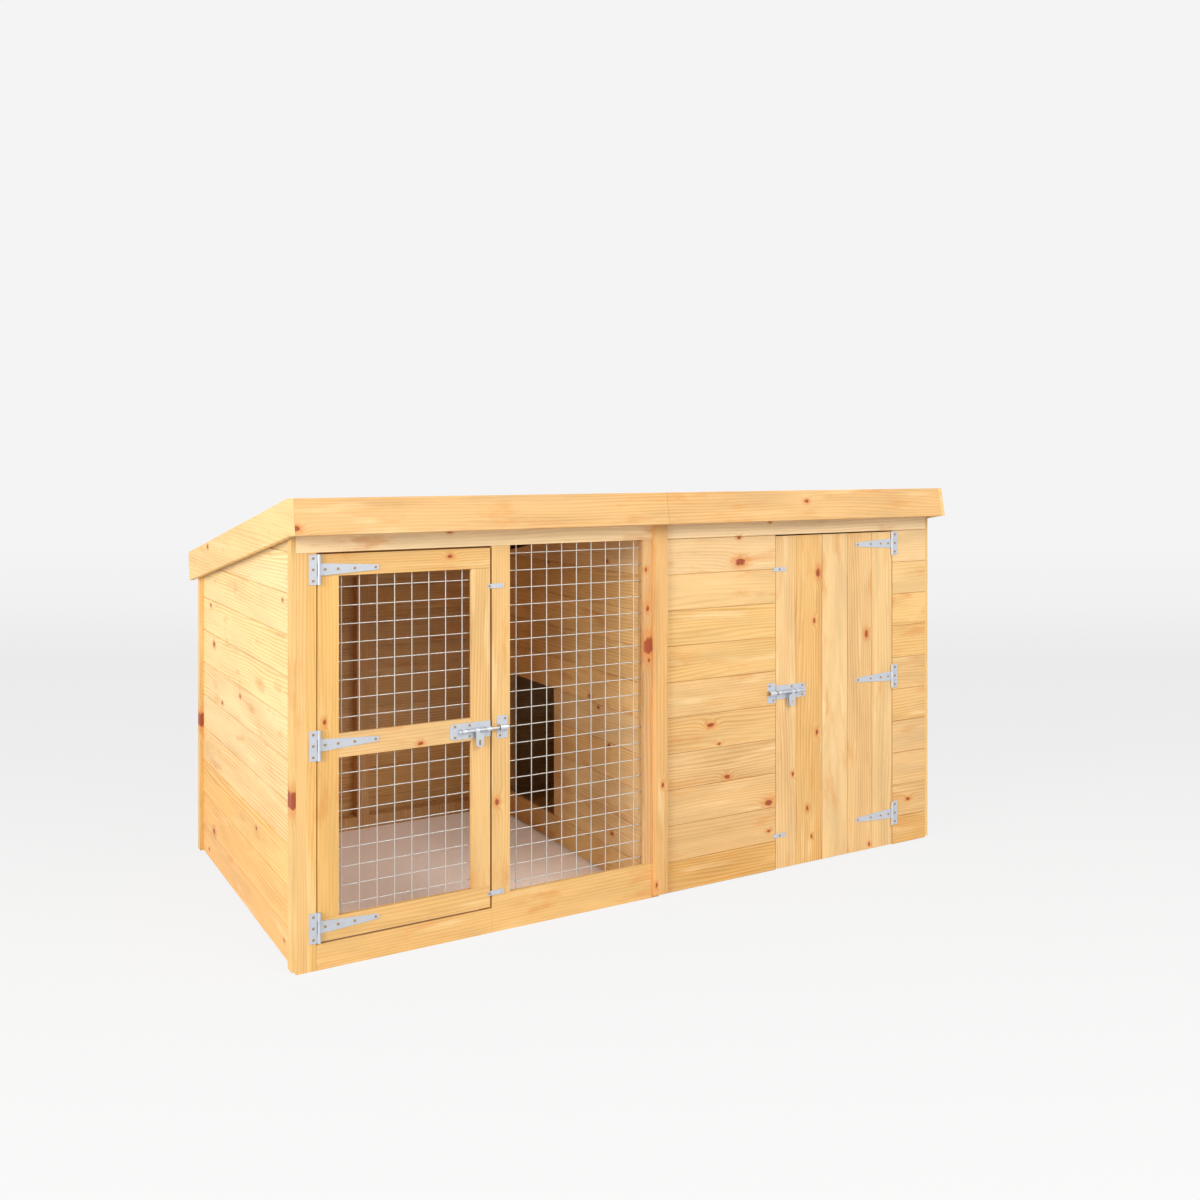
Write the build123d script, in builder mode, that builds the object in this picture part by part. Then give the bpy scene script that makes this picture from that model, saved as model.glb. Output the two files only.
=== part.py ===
from build123d import *
import math
import os

# A dog kennel with a run, in pine, under one roof that falls to the back.
# Millimetres. House positions are from the outer left face (x), the front face (y) and the ground (z).
# The row's origin is under the middle of the whole object, so house() moves them there.

# Body
width = 2300.0
depth = 1175.0
module_joint = 1150.0

# Roof: its top line starts over the front at roof_front_y and falls to roof_back_y
roof_slope = 10.0
roof_front_y = -44.0
roof_back_y = 1221.0
roof_front_z = 1258.0
roof_side_overhang = 23.4
edge_board = 16.0
edge_board_depth = 98.0
felt_top = 1.0
felt_thickness = 2.0

# Timber
cladding = 12.0
board_cover = 112.5
first_joint = 97.5
board_gap = 1.0
board_bevel = 1.8
tongue_length = 5.5
tongue_thickness = 3.4
tongue_clearance = 0.3
stud_width = 34.0
stud_depth = 45.0
hairline = 0.4
close_gap = 0.2
ground_clearance = 6.0

# Run front: a face layer of flat battens, the mesh behind it, then the framing
face = 12.0
left_stile_x = (12.0, 66.5)
mullion_x = (579.0, 636.0)
right_stile_x = (1092.0, 1149.6)
header_bottom = 1111.5
sill_top = 69.0
panel_rail_top = 108.0
mesh_pitch = 50.4
wire = 3.0
wire_gap = 0.05
mesh_layer = 6.4
mesh_inset = 0.1

# Run door
run_door_x = (69.5, 573.0)
run_door_z = (75.0, 1106.0)
door_stile = 58.0
top_rail_bottom = 1047.5
mid_rail_z = (559.0, 623.0)
bottom_rail_top = 136.0
back_batten = 16.0
back_batten_setback = 12.0
back_batten_hinge_side = 1.0
back_batten_lock_side = 8.0
mid_batten_inset = 10.0

# Kennel door
kennel_door_x = (1610.0, 2128.5)
kennel_door_z = (5.0, 1106.0)
kennel_door_first_joint = 1697.0
kennel_opening_x = (1608.0, 2130.0)
ledge = 20.0
ledge_height = 70.0

# Partition with its pop hole
partition_x = 1108.0
pop_hole_y = (620.0, 1020.0)
pop_hole_boards = 4

# T hinges
hinge_heights = (114.0, 598.0, 1066.0)
metal = 2.0
knuckle_radius = 4.2
pin_radius = 2.1
pin_clearance = 0.05
knuckle_standoff = 4.6
hinge_plate_width = 22.0
hinge_plate_height = 81.0
strap_length = 167.5
strap_root = 32.0
strap_tip_radius = 7.25
strap_edge = 4.9
run_hinge_x = 73.0
kennel_hinge_x = 2124.3

# Padlock bolts, measured from the plate's end at the door gap towards the keep
bolt_z = 588.5
bolt_standoff = 9.0
bolt_plate_length = 125.0
bolt_plate_height = 45.0
bolt_plate_corner = 11.0
rod_radius = 4.0
rod_tail = -100.0
rod_tip = 26.0
guide_spans = ((-90.0, -78.0), (-15.0, -1.0))
guide_bore = 4.4
lug_span = (-50.0, -26.5)
lug_collar = 12.0
lug_collar_radius = 6.5
lug_drop = 47.0
lug_neck = 8.0
padlock_z = -34.0
padlock_slot_length = 15.0
padlock_slot_width = 7.2
ear_hole_radius = 4.6
rod_chamfer = 0.8
ear_x = -31.0
keep_width = 34.0
keep_height = 65.0
keep_arch = (6.0, 30.0)
keep_bore = 7.0
run_keep_start = 21.0
kennel_keep_start = 2.5
kennel_rod_shift = -18.5

# Turn buttons
button_length = 50.0
button_width = 13.0
button_metal = 1.6
button_corner = 1.5
spare_hole_offset = 17.0
spare_hole_radius = 1.6
button_lift = 0.3
button_heights = (114.5, 996.0)
run_button_pivot = 570.5
run_button_start = -5.0
kennel_button_pivot = 1624.3
kennel_button_start = -25.0

# Screws
shank_radius = 1.9
shank_length = 11.5
head_radius = 3.6
head_height = 1.6
screw_clearance = 0.3

# Kennel floor
floor_top = 57.5

sine = math.sin(math.radians(roof_slope))
cosine = math.cos(math.radians(roof_slope))
roof_length = (roof_back_y - roof_front_y) / cosine
x_middle = width / 2
y_middle = (roof_back_y + roof_front_y - edge_board_depth * sine) / 2
boards_depth = felt_top + felt_thickness + cladding
purlin_bottom = boards_depth + stud_depth
rail_bottom = purlin_bottom + stud_depth
barge_inside = width / 2 + roof_side_overhang - edge_board
back_inside = depth - cladding
purlin_starts = (70.0, 626.0, 1188.0)
joints = [first_joint + board_cover * number for number in range(11)]


def house(x, y, z):
    return (x - x_middle, y - y_middle, z)


def block(x, y, z, mode=Mode.ADD):
    """A timber between its low and high sides along each house direction."""
    with Locations(house(sum(x) / 2, sum(y) / 2, sum(z) / 2)):
        Box(x[1] - x[0], y[1] - y[0], z[1] - z[0], mode=mode)


roof = Plane(origin=house(x_middle, roof_front_y, roof_front_z), x_dir=(1, 0, 0), z_dir=(0, sine, cosine))


def roof_block(x, along, below, mode=Mode.ADD):
    """A timber square to the roof: x from its middle, along its fall, and below its top line."""
    middle = Location((sum(x) / 2, sum(along) / 2, -sum(below) / 2))
    with Locations(roof.location * middle):
        Box(x[1] - x[0], along[1] - along[0], below[1] - below[0], mode=mode)


def board_outline(low, high, groove, tongue):
    """Section of a tongue and groove board, from its groove edge at low to its tongue edge at high."""
    low = low + board_gap / 2
    high = high - board_gap / 2
    middle = cladding / 2
    slot = tongue_thickness / 2 + tongue_clearance
    slot_end = low + tongue_length + tongue_clearance
    tip = high + tongue_length
    half = tongue_thickness / 2
    points = [(low, 0)]
    if groove:
        points += [(low, middle - slot), (slot_end, middle - slot)]
        points += [(slot_end, middle + slot), (low, middle + slot)]
    points += [(low, cladding - board_bevel), (low + board_bevel, cladding)]
    points += [(high - board_bevel, cladding), (high, cladding - board_bevel)]
    if tongue:
        points += [(high, middle + half), (tip, middle + half), (tip, middle - half), (high, middle - half)]
    points += [(high, 0)]
    return points


def boarded(plane, length, edges):
    """Boards of one length side by side between the edges. The plane lies across one end of them."""
    last = len(edges) - 2
    with BuildPart() as boards:
        with BuildSketch(plane):
            for number, (low, high) in enumerate(zip(edges, edges[1:])):
                Polygon(*board_outline(low, high, number > 0, number < last), align=None)
        extrude(amount=length)
    return boards.part


def save(name, label):
    name.part.label = label
    export_step(name.part, f"parts/{label}.step")


os.makedirs("parts", exist_ok=True)
under_boards = roof.offset(-boards_depth)
under_purlins = roof.offset(-purlin_bottom)
under_rails = roof.offset(-rail_bottom)


def screw_planes(sites, lift):
    """Planes facing forward at house x, z sites, the lift in front of the front face."""
    return [Plane(origin=house(x, -lift, z), x_dir=(1, 0, 0), z_dir=(0, -1, 0)) for x, z in sites]


# Where the screws go: hinge plates and keeps on the house, straps, bolts and buttons on the doors
plate_screw_offsets = (-30.0, 0.0, 30.0)
plate_screw_inset = 15.5
strap_screws = (17.0, 52.0, 98.0, 157.0)
bolt_screws = ((-110.0, -15.5), (-110.0, 15.5), (-65.0, -15.5), (-65.0, 15.5))
keep_screws = ((25.0, 24.0), (9.0, -24.0))


def plate_sites(axis_x, toward):
    return [(axis_x - toward * plate_screw_inset, height + offset)
            for height in hinge_heights for offset in plate_screw_offsets]


def strap_sites(axis_x, toward):
    return [(axis_x + toward * distance, height) for height in hinge_heights for distance in strap_screws]


def bolt_sites(end_x, toward):
    return [(end_x + toward * along, bolt_z + up) for along, up in bolt_screws]


def keep_sites(end_x, toward, start):
    return [(end_x + toward * (start + along), bolt_z + up) for along, up in keep_screws]


def button_sites(pivot_x):
    return [(pivot_x, height) for height in button_heights]


house_screws = (plate_sites(run_hinge_x, 1) + plate_sites(kennel_hinge_x, -1)
                + keep_sites(run_door_x[1], 1, run_keep_start)
                + keep_sites(kennel_door_x[0], -1, kennel_keep_start))
run_door_flat_screws = strap_sites(run_hinge_x, 1) + bolt_sites(run_door_x[1], 1)
run_door_button_screws = button_sites(run_button_pivot)
kennel_door_flat_screws = strap_sites(kennel_hinge_x, -1) + bolt_sites(kennel_door_x[0], -1)
kennel_door_button_screws = button_sites(kennel_button_pivot)
button_front = button_lift + button_metal
drilled = shank_length + head_height
strip_bottom = 8.0


# Side walls: horizontal boards cut to the roof's fall, notched for the purlins
notch_depth = 60.0
notch_clearance = 1.0
side_edges = [ground_clearance] + joints
side_boards_length = back_inside - face
left_boards_plane = Plane(origin=house(2 * cladding, back_inside, 0), x_dir=(0, 0, 1), z_dir=(0, -1, 0))
right_boards_plane = Plane(origin=house(width - 2 * cladding, face, 0), x_dir=(0, 0, 1), z_dir=(0, 1, 0))


def side_boards(label, plane, outside):
    with BuildPart() as boards:
        add(boarded(plane, side_boards_length, side_edges))
        split(bisect_by=under_boards, keep=Keep.BOTTOM)
        for start in purlin_starts:
            notch = (start - notch_clearance, start + stud_width + notch_clearance)
            roof_block(outside, notch, (0, purlin_bottom + notch_clearance), mode=Mode.SUBTRACT)
    save(boards, label)


side_boards("left_wall_boards", left_boards_plane, (-x_middle, notch_depth - x_middle))
side_boards("right_wall_boards", right_boards_plane, (x_middle - notch_depth, x_middle))


# Back wall boards
back_plane = Plane(origin=house(width - cladding, back_inside, 0), x_dir=(0, 0, 1), z_dir=(-1, 0, 0))
with BuildPart() as back_wall_boards:
    add(boarded(back_plane, width - 2 * cladding, [ground_clearance] + joints[:10]))
    split(bisect_by=under_boards, keep=Keep.BOTTOM)
save(back_wall_boards, "back_wall_boards")


# Corner trims: narrow strips on the side walls, at the front and back corners
trim_width = 36.0
front_trim_top = 1172.0
back_trim_top = 972.0
with BuildPart() as corner_trims:
    for x in ((0, cladding), (width - cladding, width)):
        block(x, (0, trim_width), (strip_bottom, front_trim_top))
        block(x, (depth - trim_width, depth), (strip_bottom, back_trim_top))
save(corner_trims, "corner_trims")


# Framing of the walls: posts and rails, with a hairline between them
def post(x, y):
    """A post from the ground to the rails that carry the roof."""
    with BuildPart() as timber:
        block(x, y, (0, roof_front_z))
        split(bisect_by=under_rails, keep=Keep.BOTTOM)
    return timber.part


front_post_y = (face, face + stud_depth)
back_post_y = (back_inside - stud_depth, back_inside)
left_post_x = (2 * cladding, 2 * cladding + stud_width)
right_post_x = (width - 2 * cladding - stud_width, width - 2 * cladding)
party_post_x = (partition_x + cladding, partition_x + cladding + stud_width)
side_rail_y = (front_post_y[1] + hairline, back_post_y[0] - hairline)
rail_along = (77.0, 1232.0)
side_stud_y = (depth / 2 - stud_width / 2, depth / 2 + stud_width / 2)


def side_frame(label, x):
    """Middle stud, bottom rail in two lengths and the sloping rail that carries the purlins."""
    local_x = (x[0] - x_middle, x[1] - x_middle)
    with BuildPart() as frame:
        add(post(x, front_post_y))
        add(post(x, back_post_y))
        add(post(x, side_stud_y))
        block(x, (side_rail_y[0], side_stud_y[0] - hairline), (0, stud_depth))
        block(x, (side_stud_y[1] + hairline, side_rail_y[1]), (0, stud_depth))
        roof_block(local_x, rail_along, (purlin_bottom + hairline, rail_bottom - hairline))
    save(frame, label)


side_frame("left_wall_frame", left_post_x)
side_frame("right_wall_frame", right_post_x)

back_rail_z = (932.0, 977.0)
run_back_stud_x = (576.0 - stud_depth / 2, 576.0 + stud_depth / 2)
kennel_back_stud_x = (1698.0 - stud_depth / 2, 1698.0 + stud_depth / 2)
back_bays = ((left_post_x[1], run_back_stud_x[0]), (run_back_stud_x[1], partition_x),
             (party_post_x[1], kennel_back_stud_x[0]), (kennel_back_stud_x[1], right_post_x[0]))
with BuildPart() as back_wall_frame:
    for stud in (run_back_stud_x, kennel_back_stud_x):
        block(stud, back_post_y, (0, back_rail_z[0] - hairline))
    for low, high in back_bays:
        block((low + hairline, high - hairline), back_post_y, (0, stud_depth))
    block((left_post_x[1] + hairline, partition_x - hairline), back_post_y, back_rail_z)
    block((party_post_x[1] + hairline, right_post_x[0] - hairline), back_post_y, back_rail_z)
save(back_wall_frame, "back_wall_frame")


# Partition: boards on the run's side, cut round the pop hole, and its frame
hole_low = first_joint
hole_high = first_joint + board_cover * pop_hole_boards
partition_back = house(partition_x + cladding, back_inside, 0)
partition_plane = Plane(origin=partition_back, x_dir=(0, 0, 1), z_dir=(0, -1, 0))
with BuildPart() as partition_boards:
    add(boarded(partition_plane, side_boards_length, side_edges))
    split(bisect_by=under_purlins, keep=Keep.BOTTOM)
    through = (partition_x - 1, partition_x + cladding + 1)
    block(through, pop_hole_y, (hole_low, hole_high + 1), mode=Mode.SUBTRACT)
save(partition_boards, "partition_boards")

hole_front_stud = (pop_hole_y[0] - stud_width, pop_hole_y[0])
hole_back_stud = (pop_hole_y[1], pop_hole_y[1] + stud_width)
with BuildPart() as partition_frame:
    for y in (front_post_y, hole_front_stud, hole_back_stud, back_post_y):
        add(post(party_post_x, y))
    block(party_post_x, (front_post_y[1] + hairline, hole_front_stud[0] - hairline), (0, stud_depth))
    block(party_post_x, (pop_hole_y[0] + hairline, pop_hole_y[1] - hairline), (0, stud_depth))
    block(party_post_x, (hole_back_stud[1] + hairline, back_post_y[0] - hairline), (0, stud_depth))
    lintel_y = (pop_hole_y[0] + hairline, pop_hole_y[1] - hairline)
    block(party_post_x, lintel_y, (hole_high, hole_high + stud_depth))
    roof_block((party_post_x[0] - x_middle, party_post_x[1] - x_middle), rail_along,
               (purlin_bottom + hairline, rail_bottom - hairline))
save(partition_frame, "partition_frame")


# Run front, face layer: flat battens 12 mm thick, the left stile drilled for the hinges
face_y = (0.0, face)
house_screw_planes = screw_planes(house_screws, metal)
with BuildPart() as run_left_stile:
    block(left_stile_x, face_y, (0, header_bottom - hairline))
    with BuildSketch(*house_screw_planes):
        Circle(shank_radius)
    extrude(amount=-drilled, mode=Mode.SUBTRACT)
save(run_left_stile, "run_left_stile")

with BuildPart() as run_mullion:
    block(mullion_x, face_y, (panel_rail_top + hairline, header_bottom - hairline))
    with BuildSketch(*house_screw_planes):
        Circle(shank_radius)
    extrude(amount=-drilled, mode=Mode.SUBTRACT)
save(run_mullion, "run_mullion")

with BuildPart() as run_right_stile:
    block(right_stile_x, face_y, (panel_rail_top + hairline, header_bottom - hairline))
save(run_right_stile, "run_right_stile")

header_top = 1230.0
with BuildPart() as run_header:
    block((left_stile_x[0], right_stile_x[1]), face_y, (header_bottom, header_top))
save(run_header, "run_header")

with BuildPart() as run_door_sill:
    block((left_stile_x[1] + hairline, mullion_x[0] - hairline), face_y, (0, sill_top))
save(run_door_sill, "run_door_sill")

with BuildPart() as run_panel_rail:
    block((mullion_x[0], right_stile_x[1]), face_y, (0, panel_rail_top))
save(run_panel_rail, "run_panel_rail")


# Run front, framing behind the mesh: a rebated middle post, rails between the posts
frame_y = (face + mesh_layer, face + mesh_layer + stud_depth)
post_inset = 6.0
rebate_width = 14.0
middle_post_x = (mullion_x[0] + post_inset, mullion_x[0] + post_inset + stud_depth)
rebate_x = middle_post_x[0] + rebate_width
clamp_y = (frame_y[0], frame_y[0] + back_batten)
clamp_batten_x = 1094.0
header_rail_z = (header_bottom + hairline, header_bottom + stud_depth)
with BuildPart() as run_front_frame:
    block(middle_post_x, frame_y, (0, header_rail_z[1]))
    block((middle_post_x[0], rebate_x), (face, frame_y[0]), (0, header_rail_z[1]))
    for low, high in ((left_post_x[1], middle_post_x[0]), (middle_post_x[1], partition_x)):
        block((low + hairline, high - hairline), frame_y, header_rail_z)
        block((low + hairline, high - hairline), frame_y, (0, stud_depth))
    block((clamp_batten_x, partition_x - hairline), clamp_y, (stud_depth + hairline, header_bottom))
save(run_front_frame, "run_front_frame")


# Mesh: upright wires in front, level wires a hairline behind, each wire a solid of its own
def mesh_panel(label, x, z, first_x, first_z, front):
    """Wires on the pitch through first_x and first_z that fit inside the panel, cut off at its edges."""
    upright_y = front + wire / 2
    level_y = upright_y + wire + wire_gap
    columns = [first_x + mesh_pitch * n for n in range(-3, 30) if x[0] < first_x + mesh_pitch * n < x[1]]
    rows = [first_z + mesh_pitch * n for n in range(-3, 30) if z[0] < first_z + mesh_pitch * n < z[1]]
    with BuildPart() as mesh:
        with BuildSketch(Plane.XY.offset(z[0])):
            with Locations(*[house(column, upright_y, 0) for column in columns]):
                Circle(wire / 2)
        extrude(amount=z[1] - z[0])
        level_plane = Plane(origin=house(x[0], level_y, 0), x_dir=(0, 1, 0), z_dir=(1, 0, 0))
        with BuildSketch(level_plane):
            with Locations(*[(0, row) for row in rows]):
                Circle(wire / 2)
        extrude(amount=x[1] - x[0])
    save(mesh, label)


mesh_front = face + mesh_inset
mesh_panel("run_fixed_mesh", (601.0, 1105.0), (84.0, 1144.0), 662.0, 128.7, mesh_front)
mesh_panel("run_door_mesh", (84.0, 552.0), (92.0, 1084.0), 138.8, 158.3, mesh_front)


# Cover strip over the joint of the two modules
cover_half = 24.0
cover_top = 1184.0
with BuildPart() as centre_cover_strip:
    block((module_joint - cover_half, module_joint + cover_half), (-cladding, 0), (strip_bottom, cover_top))
save(centre_cover_strip, "centre_cover_strip")


# Kennel front: boards either side of the door, one board over it
front_boards_bottom = 2.0
front_edges = [front_boards_bottom] + joints[:10]
front_boards_end = width - cladding


def front_boards(label, x, edges):
    plane = Plane(origin=house(x[0], cladding, 0), x_dir=(0, 0, 1), z_dir=(1, 0, 0))
    with BuildPart() as boards:
        add(boarded(plane, x[1] - x[0], edges))
        with BuildSketch(*house_screw_planes):
            Circle(shank_radius)
        extrude(amount=-drilled, mode=Mode.SUBTRACT)
    save(boards, label)


front_boards("kennel_front_boards_left", (module_joint, kennel_opening_x[0]), front_edges)
front_boards("kennel_front_boards_right", (kennel_opening_x[1], front_boards_end), front_edges)
front_boards("kennel_header_board", (module_joint, front_boards_end), joints[9:])

door_left_stud = (kennel_opening_x[0] - stud_width, kennel_opening_x[0])
door_right_stud = (kennel_opening_x[1], kennel_opening_x[1] + stud_width)
kennel_rail_gap = 0.5
kennel_bays = ((party_post_x[1], door_left_stud[0]), kennel_opening_x, (door_right_stud[1], right_post_x[0]))
with BuildPart() as kennel_front_frame:
    for stud in (door_left_stud, door_right_stud):
        block(stud, front_post_y, (0, header_bottom - hairline))
    for low, high in kennel_bays:
        block((low + hairline, high - hairline), (face + kennel_rail_gap, front_post_y[1]), (0, stud_depth))
    block((party_post_x[1] + hairline, right_post_x[0] - hairline), front_post_y, header_rail_z)
save(kennel_front_frame, "kennel_front_frame")

stop_width = 13.0
run_stop_width = 19.0
stop_top = 1100.0
run_stop_front = 36.5
kennel_stop_gap = 1.5
run_stop_x = (middle_post_x[0] - hairline - run_stop_width, middle_post_x[0] - hairline)
run_stop_y = (run_stop_front, frame_y[1])
kennel_stop_y = (cladding + kennel_stop_gap, front_post_y[1])
with BuildPart() as door_stops:
    block(run_stop_x, run_stop_y, (stud_depth + hairline, stop_top))
    block((kennel_opening_x[0] + hairline, kennel_opening_x[0] + stop_width), kennel_stop_y,
          (stud_depth + hairline, stop_top))
save(door_stops, "door_stops")


# Kennel floor: tongue and groove boards on bearers
floor_x = (party_post_x[1] + 1, right_post_x[0] - 1)
floor_y = (front_post_y[1] + 1, back_post_y[0] - 1)
floor_edges = [floor_y[0] + board_cover * number for number in range(10)] + [floor_y[1]]
floor_plane = Plane(origin=house(floor_x[0], 0, floor_top - cladding), x_dir=(0, 1, 0), z_dir=(1, 0, 0))
with BuildPart() as kennel_floor_boards:
    add(boarded(floor_plane, floor_x[1] - floor_x[0], floor_edges))
save(kennel_floor_boards, "kennel_floor_boards")

bearer_starts = (1176.0, 1518.0, 1860.0, 2202.0)
with BuildPart() as kennel_floor_bearers:
    for start in bearer_starts:
        block((start, start + stud_width), floor_y, (0, floor_top - cladding - hairline))
save(kennel_floor_bearers, "kennel_floor_bearers")


# Roof: purlins, boards down the fall with their bevels underneath, felt
inside_x = (-barge_inside + hairline, barge_inside - hairline)
inside_along = (edge_board + hairline, roof_length - edge_board - hairline)
with BuildPart() as roof_purlins:
    for start in purlin_starts:
        roof_block(inside_x, (start, start + stud_width), (boards_depth + close_gap, purlin_bottom))
save(roof_purlins, "roof_purlins")

roof_edges = [inside_x[0] + board_cover * number for number in range(21)] + [inside_x[1]]
low_end = roof.from_local_coords((0, inside_along[1], -felt_top - felt_thickness))
roof_boards_plane = Plane(origin=low_end, x_dir=(1, 0, 0), z_dir=-roof.y_dir)
with BuildPart() as roof_boards:
    with BuildSketch(roof_boards_plane):
        for number, (low, high) in enumerate(zip(roof_edges, roof_edges[1:])):
            outline = board_outline(low, high, number > 0, number < len(roof_edges) - 2)
            Polygon(*[(across, -up) for across, up in outline], align=None)
    extrude(amount=inside_along[1] - inside_along[0])
save(roof_boards, "roof_boards")

with BuildPart() as roof_felt:
    roof_block(inside_x, inside_along, (felt_top, felt_top + felt_thickness))
save(roof_felt, "roof_felt")

edge_along = (0.0, edge_board)
edge_below = (0.0, edge_board_depth)
with BuildPart() as fascia_left:
    roof_block((inside_x[0], -hairline), edge_along, edge_below)
save(fascia_left, "fascia_left")

with BuildPart() as fascia_right:
    roof_block((hairline, inside_x[1]), edge_along, edge_below)
save(fascia_right, "fascia_right")

with BuildPart() as barge_boards:
    for side in (-1, 1):
        outside = sorted((side * barge_inside, side * (barge_inside + edge_board)))
        roof_block(outside, (0, roof_length), edge_below)
save(barge_boards, "barge_boards")

fascia_batten_width = 28.0
with BuildPart() as fascia_batten:
    behind_fascia = (edge_board + hairline, edge_board + fascia_batten_width)
    roof_block(inside_x, behind_fascia, (boards_depth + close_gap, purlin_bottom))
save(fascia_batten, "fascia_batten")

drip_board_depth = 60.0
with BuildPart() as back_drip_board:
    roof_block(inside_x, (roof_length - edge_board, roof_length), (0, drip_board_depth))
save(back_drip_board, "back_drip_board")


# T hinges: a plate on the house, a tapered strap on the door, and a pin through their knuckles
knuckle_y = -knuckle_standoff
strap_knuckle = strap_root / 2 - close_gap
plate_knuckle = strap_root / 2 + close_gap
pin_end = 0.6
leaf_lap = 3.2
plate_half = hinge_plate_height / 2


def hinge_plane(axis_x, toward, height):
    return Plane(origin=house(axis_x, 0, height), x_dir=(toward, 0, 0), z_dir=(0, -1, 0))


def knuckle_plane(axis_x, height):
    return Plane(origin=house(axis_x, knuckle_y, height), x_dir=(1, 0, 0), z_dir=(0, 0, 1))


with BuildPart() as hinge_plates:
    for axis_x, toward in ((run_hinge_x, 1), (kennel_hinge_x, -1)):
        for height in hinge_heights:
            with BuildSketch(hinge_plane(axis_x, toward, height)):
                with Locations((-strap_edge - hinge_plate_width / 2, 0)):
                    Rectangle(hinge_plate_width, hinge_plate_height)
                for side in (-1, 1):
                    with Locations((-strap_edge + 1, side * (plate_knuckle + plate_half) / 2)):
                        Rectangle(leaf_lap, plate_half - plate_knuckle)
                with Locations(*[(-plate_screw_inset, offset) for offset in plate_screw_offsets]):
                    Circle(shank_radius + screw_clearance, mode=Mode.SUBTRACT)
            extrude(amount=metal)
            for low in (-plate_half, plate_knuckle):
                with BuildSketch(knuckle_plane(axis_x, height + low)):
                    Circle(knuckle_radius)
                extrude(amount=plate_half - plate_knuckle)
            with BuildSketch(knuckle_plane(axis_x, height - plate_half)):
                Circle(pin_radius)
            extrude(amount=hinge_plate_height, mode=Mode.SUBTRACT)
save(hinge_plates, "hinge_plates")

with BuildPart() as hinge_pins:
    for axis_x in (run_hinge_x, kennel_hinge_x):
        for height in hinge_heights:
            with BuildSketch(knuckle_plane(axis_x, height - plate_half - pin_end)):
                Circle(pin_radius)
            extrude(amount=hinge_plate_height + 2 * pin_end)
save(hinge_pins, "hinge_pins")


def hinge_straps(label, axis_x, toward):
    """Straps with the knuckle at the root, tapering to a round tip, with four screw holes."""
    tip_x = strap_length - strap_tip_radius
    half = strap_root / 2
    taper = [(strap_edge, -half), (strap_edge + 8, -half), (tip_x, -strap_tip_radius),
             (tip_x, strap_tip_radius), (strap_edge + 8, half), (strap_edge, half)]
    with BuildPart() as straps:
        for height in hinge_heights:
            with BuildSketch(hinge_plane(axis_x, toward, height)):
                Polygon(*taper, align=None)
                with Locations((tip_x, 0)):
                    Circle(strap_tip_radius)
                with Locations((strap_edge - 1, 0)):
                    Rectangle(leaf_lap, 2 * strap_knuckle)
                with Locations(*[(distance, 0) for distance in strap_screws]):
                    Circle(shank_radius + screw_clearance, mode=Mode.SUBTRACT)
            extrude(amount=metal)
            with BuildSketch(knuckle_plane(axis_x, height - strap_knuckle)):
                Circle(knuckle_radius)
            extrude(amount=2 * strap_knuckle)
            with BuildSketch(knuckle_plane(axis_x, height - half)):
                Circle(pin_radius + pin_clearance)
            extrude(amount=strap_root, mode=Mode.SUBTRACT)
    save(straps, label)


hinge_straps("run_door_straps", run_hinge_x, 1)
hinge_straps("kennel_door_straps", kennel_hinge_x, -1)


# Screws with low round heads
def screws(label, groups):
    """Groups of planes on the metal's front, each with a screw that goes back through it into the wood."""
    with BuildPart() as set_of_screws:
        for planes in groups:
            with BuildSketch(*planes):
                Circle(head_radius)
            extrude(amount=head_height)
            with BuildSketch(*planes):
                Circle(shank_radius)
            extrude(amount=-shank_length)
        heads = set_of_screws.edges().filter_by(GeomType.CIRCLE).group_by(Axis.Y)[0]
        fillet(heads, head_height * 0.6)
    save(set_of_screws, label)


screws("house_screws", [house_screw_planes])


# Padlock bolt: plate with two pressed guides and an ear, sliding rod, hanging lug, keep
def arch(x, bore, outer):
    """A pressed loop over the rod between two x positions, its feet on the plate or the wood."""
    section = Plane(origin=house(x[0], 0, bolt_z), x_dir=(0, 0, 1), z_dir=(1, 0, 0))
    with BuildPart() as loop:
        with BuildSketch(section):
            with Locations((0, bolt_standoff)):
                Circle(outer)
            with Locations((0, bolt_standoff / 2)):
                Rectangle(2 * outer, bolt_standoff)
            with Locations((0, bolt_standoff)):
                Circle(bore, mode=Mode.SUBTRACT)
            with Locations((0, bolt_standoff / 2)):
                Rectangle(2 * bore, bolt_standoff, mode=Mode.SUBTRACT)
        extrude(amount=x[1] - x[0])
    return loop.part


def span(end_x, toward, along):
    """House x range, low first, of a stretch along the bolt."""
    return sorted((end_x + toward * along[0], end_x + toward * along[1]))


ear_width = 16.0
ear_lift = 6.0
ear_z = (-44.0, -16.0)


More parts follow.
